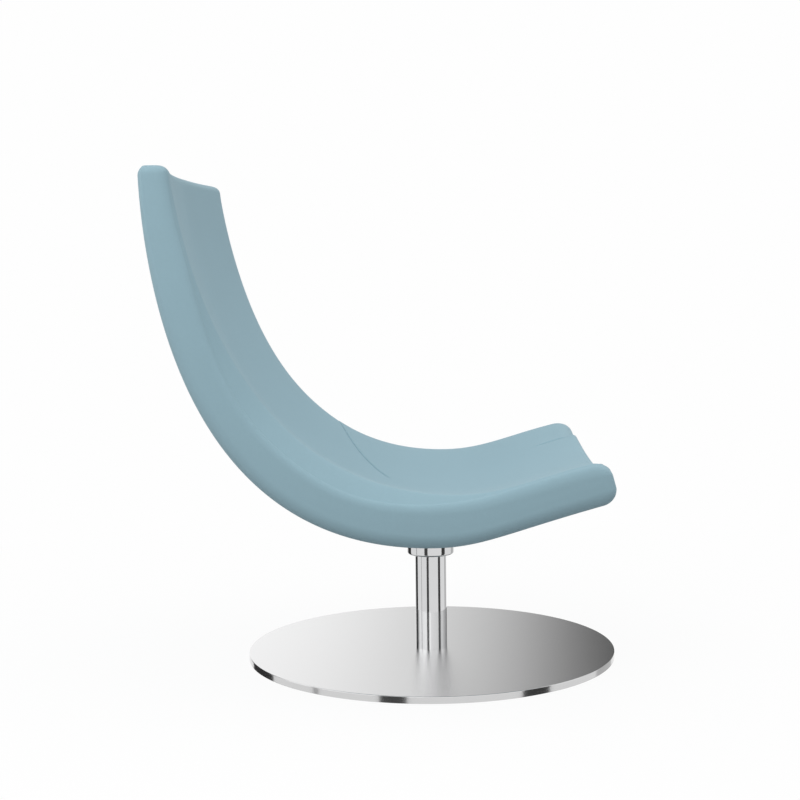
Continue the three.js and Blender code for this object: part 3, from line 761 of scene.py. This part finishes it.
def rounded(profile, radii):
    """The profile with each corner rounded by its radius, and a point just beside each rounding."""
    result = []
    count = len(profile)
    for index, radius in enumerate(radii):
        corner = Vector(profile[index])
        if radius == 0:
            result.append(tuple(corner))
            continue
        before = (Vector(profile[index - 1]) - corner).normalized()
        after = (Vector(profile[(index + 1) % count]) - corner).normalized()
        half = before.angle(after) / 2
        reach = radius / math.tan(half)
        middle = corner + (before + after).normalized() * (radius / math.sin(half))
        first = corner + before * reach - middle
        last = corner + after * reach - middle
        turn = first.angle_signed(last)
        beside = reach + radius / 2
        result.append(tuple(corner + before * beside))
        for step in range(ROUNDING_STEPS + 1):
            arm = Matrix.Rotation(-turn * step / ROUNDING_STEPS, 2) @ first
            result.append(tuple(middle + arm))
        result.append(tuple(corner + after * beside))
    return result


def build_base(top_material, wall_material):
    low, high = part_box("base_cover")
    radius = high[0]
    profile = [
        (DISC_HOLE, high[2] - DISC_SHEET),
        (radius - DISC_SHEET, high[2] - DISC_SHEET),
        (radius - DISC_SHEET, low[2]),
        (radius, low[2]),
        (radius, high[2]),
        (DISC_HOLE, high[2]),
    ]
    radii = [0, 0, 0, DISC_FOOT_ROUNDING, DISC_EDGE_ROUNDING, 0]
    piece = turned("base_disc", rounded(profile, radii), DISC_SIDES)
    piece.data.materials.append(top_material)
    piece.data.materials.append(wall_material)
    for face in piece.data.polygons:
        face.material_index = int(abs(face.normal.z) < WALL_SLOPE)
    return piece


def build_column(chrome):
    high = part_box("column_tube")[1]
    radius = high[0]
    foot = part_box("base_cover")[1][2] + TUBE_GAP
    profile = [
        (radius - TUBE_WALL, foot),
        (radius, foot),
        (radius, high[2]),
        (radius - TUBE_WALL, high[2]),
    ]
    piece = turned("column", rounded(profile, [0, 0, TUBE_ROUNDING, 0]), TUBE_SIDES)
    piece.data.materials.append(chrome)
    return piece


def build_collar(chrome):
    low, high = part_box("swivel_collar")
    radius = high[0]
    profile = [
        (COLLAR_LIP, low[2]),
        (radius, low[2]),
        (radius, high[2]),
        (COLLAR_BORE, high[2]),
        (COLLAR_BORE, high[2] - TUBE_WALL),
        (radius - TUBE_WALL, high[2] - TUBE_WALL),
        (radius - TUBE_WALL, low[2] + COLLAR_LIP_HEIGHT),
        (COLLAR_LIP, low[2] + COLLAR_LIP_HEIGHT),
    ]
    radii = [
        COLLAR_LIP_ROUNDING, COLLAR_LOW_ROUNDING, TUBE_ROUNDING, 0, 0, 0, 0, TUBE_ROUNDING,
    ]
    piece = turned("collar", rounded(profile, radii), TUBE_SIDES)
    piece.data.materials.append(chrome)
    return piece


# Studio

WHITE = 0.991
SKY_HORIZON = 0.62
SKY_ZENITH = 1.05
FLOOR_HALF = 12.0
FLOOR_TONE = 0.42            # how much light the floor gives back to the object
SHADOW_SHARE = 0.08          # how much of the floor's own shading the camera sees
SHADOW_FADE = (0.6, 1.6)     # distances from the axis over which that ends

# Cards: the angles where each starts and ends, in degrees, and its tone
DARK_CARDS = [
    (-145, -112, 0.04), (-75, -71, 0.45), (-31, -15, 0.08), (54, 73, 0.06), (118, 146, 0.6),
]
BRIGHT_CARDS = [(-100, -4, 1.85), (-4, 100, 1.35)]
CARD_DISTANCE = 4.5
CARD_HEIGHT = 3.0
CARD_DEPTH = 4.5             # below the floor, which mirrors don't see
CARD_COLUMNS = 25
BRIGHT_GAP = 0.3             # from the dark cards back to the bright ones
BRIGHT_FOOT = 0.25           # the bright ones stand above the horizon
GRADIENT_HALF = 2.6
GRADIENT_STOPS = [           # tones of the backdrop along Y
    (-2.6, 0.0), (-1.0, 0.02), (-0.72, 0.26), (-0.5, 0.55), (-0.31, 0.72),
    (0.08, 0.95), (0.47, 1.17), (0.86, 1.27), (2.6, 1.3),
]

# Lamps: place, length of a side and power, all aimed at one point
LAMPS = {
    "back_left": ((-1.6, 1.2, 1.6), 1.2, 11),
    "front_fill": ((-0.1, -2.7, 1.7), 1.6, 5),
}
LAMP_TARGET = (0, 0, 0.6)

CAMERA_PLACE = (-2.8917, 0.0280, 0.7417)
CAMERA_TURN = math.radians(0.5438)  # from +X towards +Y
CAMERA_PITCH = math.radians(4.957)  # downwards
CAMERA_ROLL = math.radians(-0.643)
CAMERA_LENS = 68.58          # millimetres, as the sensor
SENSOR_WIDTH = 36


def camera_ray_mix(tree, lit, seen, output):
    """The seen shader for the camera, mirrors and glass, and the lit one for everything else."""
    light_path = tree.nodes.new("ShaderNodeLightPath")
    camera, glossy, transmission = (
        light_path.outputs[f"Is {kind} Ray"] for kind in ("Camera", "Glossy", "Transmission")
    )
    factor = math_node(tree, "MAXIMUM", camera, glossy)
    factor = math_node(tree, "MAXIMUM", factor, transmission)
    mix = tree.nodes.new("ShaderNodeMixShader")
    tree.links.new(factor, mix.inputs[0])
    tree.links.new(lit, mix.inputs[1])
    tree.links.new(seen, mix.inputs[2])
    tree.links.new(mix.outputs[0], output)


def map_range(tree, value, low, high, to_low, to_high):
    node = tree.nodes.new("ShaderNodeMapRange")
    set_inputs(node, {"From Min": low, "From Max": high, "To Min": to_low, "To Max": to_high})
    tree.links.new(value, node.inputs["Value"])
    return node.outputs["Result"]


def axis_place(tree, coordinate, axis):
    split = tree.nodes.new("ShaderNodeSeparateXYZ")
    place = tree.nodes.new("ShaderNodeTexCoord").outputs[coordinate]
    tree.links.new(place, split.inputs[0])
    return split.outputs[axis]


def build_world():
    """Brighter overhead than at the horizon, and an even white to the camera and to mirrors."""
    world = bpy.data.worlds.new("studio")
    bpy.context.scene.world = world
    world.use_nodes = True
    tree = world.node_tree
    tree.nodes.clear()
    lit = tree.nodes.new("ShaderNodeBackground")
    lit.inputs["Color"].default_value = (1, 1, 1, 1)
    height = axis_place(tree, "Generated", "Z")
    level = map_range(tree, height, 0, 1, SKY_HORIZON, SKY_ZENITH)
    tree.links.new(level, lit.inputs["Strength"])
    seen = tree.nodes.new("ShaderNodeBackground")
    seen.inputs["Color"].default_value = (WHITE, WHITE, WHITE, 1)
    output = tree.nodes.new("ShaderNodeOutputWorld")
    camera_ray_mix(tree, lit.outputs[0], seen.outputs[0], output.inputs["Surface"])


def faint_shadow(tree):
    """White with a small share of the floor's shading, which ends away from the chair."""
    shaded = tree.nodes.new("ShaderNodeBsdfDiffuse")
    shaded.inputs["Color"].default_value = (1, 1, 1, 1)
    white = tree.nodes.new("ShaderNodeEmission")
    white.inputs["Color"].default_value = (WHITE, WHITE, WHITE, 1)
    distance = tree.nodes.new("ShaderNodeVectorMath")
    distance.operation = "LENGTH"
    tree.links.new(object_place(tree), distance.inputs[0])
    mix = tree.nodes.new("ShaderNodeMixShader")
    fade = map_range(tree, distance.outputs["Value"], *SHADOW_FADE, 1 - SHADOW_SHARE, 1)
    tree.links.new(fade, mix.inputs[0])
    tree.links.new(shaded.outputs[0], mix.inputs[1])
    tree.links.new(white.outputs[0], mix.inputs[2])
    return mix.outputs[0]


def build_floor():
    """White to the camera but for a faint shadow, and a middle grey as a source of light."""
    half = FLOOR_HALF
    corners = [(-half, -half, 0), (half, -half, 0), (half, half, 0), (-half, half, 0)]
    floor = build_mesh("floor", np.array(corners), [(0, 1, 2, 3)])
    material, tree, shader = new_material("floor")
    tone = (FLOOR_TONE, FLOOR_TONE, FLOOR_TONE, 1)
    set_inputs(shader, {"Base Color": tone, "Roughness": 0.9, "Specular IOR Level": 0.0})
    output = tree.nodes["Material Output"].inputs["Surface"]
    camera_ray_mix(tree, shader.outputs[0], faint_shadow(tree), output)
    floor.data.materials.append(material)
    floor.visible_glossy = False


def emission_material(name, tone):
    material = bpy.data.materials.new(name)
    material.use_nodes = True
    tree = material.node_tree
    tree.nodes.remove(tree.nodes["Principled BSDF"])
    light = tree.nodes.new("ShaderNodeEmission")
    set_inputs(light, {"Color": (1, 1, 1, 1), "Strength": tone})
    tree.links.new(light.outputs[0], tree.nodes["Material Output"].inputs["Surface"])
    return material, tree, light


def for_reflections_only(card):
    card.visible_camera = False
    card.visible_diffuse = False
    card.visible_transmission = False
    card.visible_shadow = False


def build_card(name, start, end, tone, distance, foot):
    """An upright curved card that spans the angles from start to end, seen from the chair."""
    angles = np.radians(np.linspace(start, end, CARD_COLUMNS))
    points = [
        (-distance * math.cos(angle), -distance * math.sin(angle), height)
        for angle in angles
        for height in (foot, CARD_HEIGHT)
    ]
    faces = [(low, low + 2, low + 3, low + 1) for low in range(0, 2 * CARD_COLUMNS - 2, 2)]
    card = build_mesh(name, np.array(points), faces)
    card.data.materials.append(emission_material(name, tone)[0])
    for_reflections_only(card)


def build_cards():
    """Dark cards round the chair, which streak the bright metal, and bright ones behind them."""
    for number, values in enumerate(DARK_CARDS, 1):
        build_card(f"dark_card_{number}", *values, CARD_DISTANCE, -CARD_DEPTH)
    for number, values in enumerate(BRIGHT_CARDS, 1):
        build_card(f"bright_card_{number}", *values, CARD_DISTANCE + BRIGHT_GAP, BRIGHT_FOOT)


def build_gradient_card():
    """A backdrop for the base to mirror, which falls from bright to dark along -Y."""
    far, half, top = CARD_DISTANCE, GRADIENT_HALF, CARD_HEIGHT
    corners = [(far, -half, 0), (far, half, 0), (far, half, top), (far, -half, top)]
    card = build_mesh("gradient_card", np.array(corners), [(0, 1, 2, 3)])
    material, tree, light = emission_material("gradient_card", 1.0)
    along = axis_place(tree, "Object", "Y")
    tone = GRADIENT_STOPS[0][1]
    for (low, low_tone), (high, high_tone) in zip(GRADIENT_STOPS, GRADIENT_STOPS[1:]):
        step = map_range(tree, along, low, high, 0, high_tone - low_tone)
        tone = math_node(tree, "ADD", tone, step)
    tree.links.new(tone, light.inputs["Strength"])
    card.data.materials.append(material)
    for_reflections_only(card)


def build_lights():
    for name, (place, side, power) in LAMPS.items():
        data = bpy.data.lights.new(name, "AREA")
        data.shape = "RECTANGLE"
        data.size = data.size_y = side
        data.energy = power
        light = bpy.data.objects.new(name, data)
        bpy.context.scene.collection.objects.link(light)
        light.location = place
        aim = Vector(LAMP_TARGET) - Vector(place)
        light.rotation_euler = aim.to_track_quat("-Z", "Y").to_euler()
        light.visible_glossy = False


def build_camera():
    """The photograph's camera: it stands beside the chair and looks slightly down at it."""
    turn, pitch, roll = CAMERA_TURN, CAMERA_PITCH, CAMERA_ROLL
    ahead = math.cos(pitch)
    forward = Vector((ahead * math.cos(turn), ahead * math.sin(turn), -math.sin(pitch)))
    level = Vector((math.sin(turn), -math.cos(turn), 0))
    above = level.cross(forward)
    right = level * math.cos(roll) + above * math.sin(roll)
    up = above * math.cos(roll) - level * math.sin(roll)
    data = bpy.data.cameras.new("camera")
    data.lens = CAMERA_LENS
    data.sensor_width = SENSOR_WIDTH
    data.sensor_fit = "HORIZONTAL"
    camera = bpy.data.objects.new("camera", data)
    bpy.context.scene.collection.objects.link(camera)
    turned_axes = Matrix((right, up, -forward)).transposed().to_4x4()
    camera.matrix_world = Matrix.Translation(CAMERA_PLACE) @ turned_axes
    bpy.context.scene.camera = camera


def dress(piece, slot, body, *nodes):
    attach(piece, body)
    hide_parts(*nodes)


def build_chair():
    cover, panel = build_shell(cloth_material())
    dress(
        cover, "upholstery_cloth", "seat",
        "seat_cover", "seat_foam", "back_foam", "left_rim_foam", "right_rim_foam",
    )
    dress(panel, "upholstery_cloth", "seat", "back_cover", "rear_foam")

    chrome = plain_material("chrome", CHROME, (0.03, 0.06), 30, 1.0)
    polished = plain_material("polished_stainless", STEEL, (0.09, 0.13), 30, 1.0)
    dress(build_base(brushed_steel_material(), polished), "base_steel", "base", "base_cover")
    dress(build_column(chrome), "column_chrome", "base", "column_tube")
    dress(build_collar(chrome), "column_chrome", "seat", "swivel_collar")


def finish_plain_nodes():
    """Gives the CAD nodes that stay as they are their materials."""
    by_slot = {slot: plain_material(slot, *values) for slot, values in PLAIN_FINISHES.items()}
    by_slot["plywood"] = wood_material()
    for entry in frame["record"]["subparts"]:
        material = by_slot.get(entry["material_slot"])
        if material:
            node = frame["nodes"][entry["node"]]
            node.data.materials.clear()
            node.data.materials.append(material)


def main():
    build_camera()
    build_world()
    build_floor()
    build_cards()
    build_gradient_card()
    build_lights()
    build_chair()
    finish_plain_nodes()
    bpy.context.scene.view_settings.view_transform = "Standard"


main()
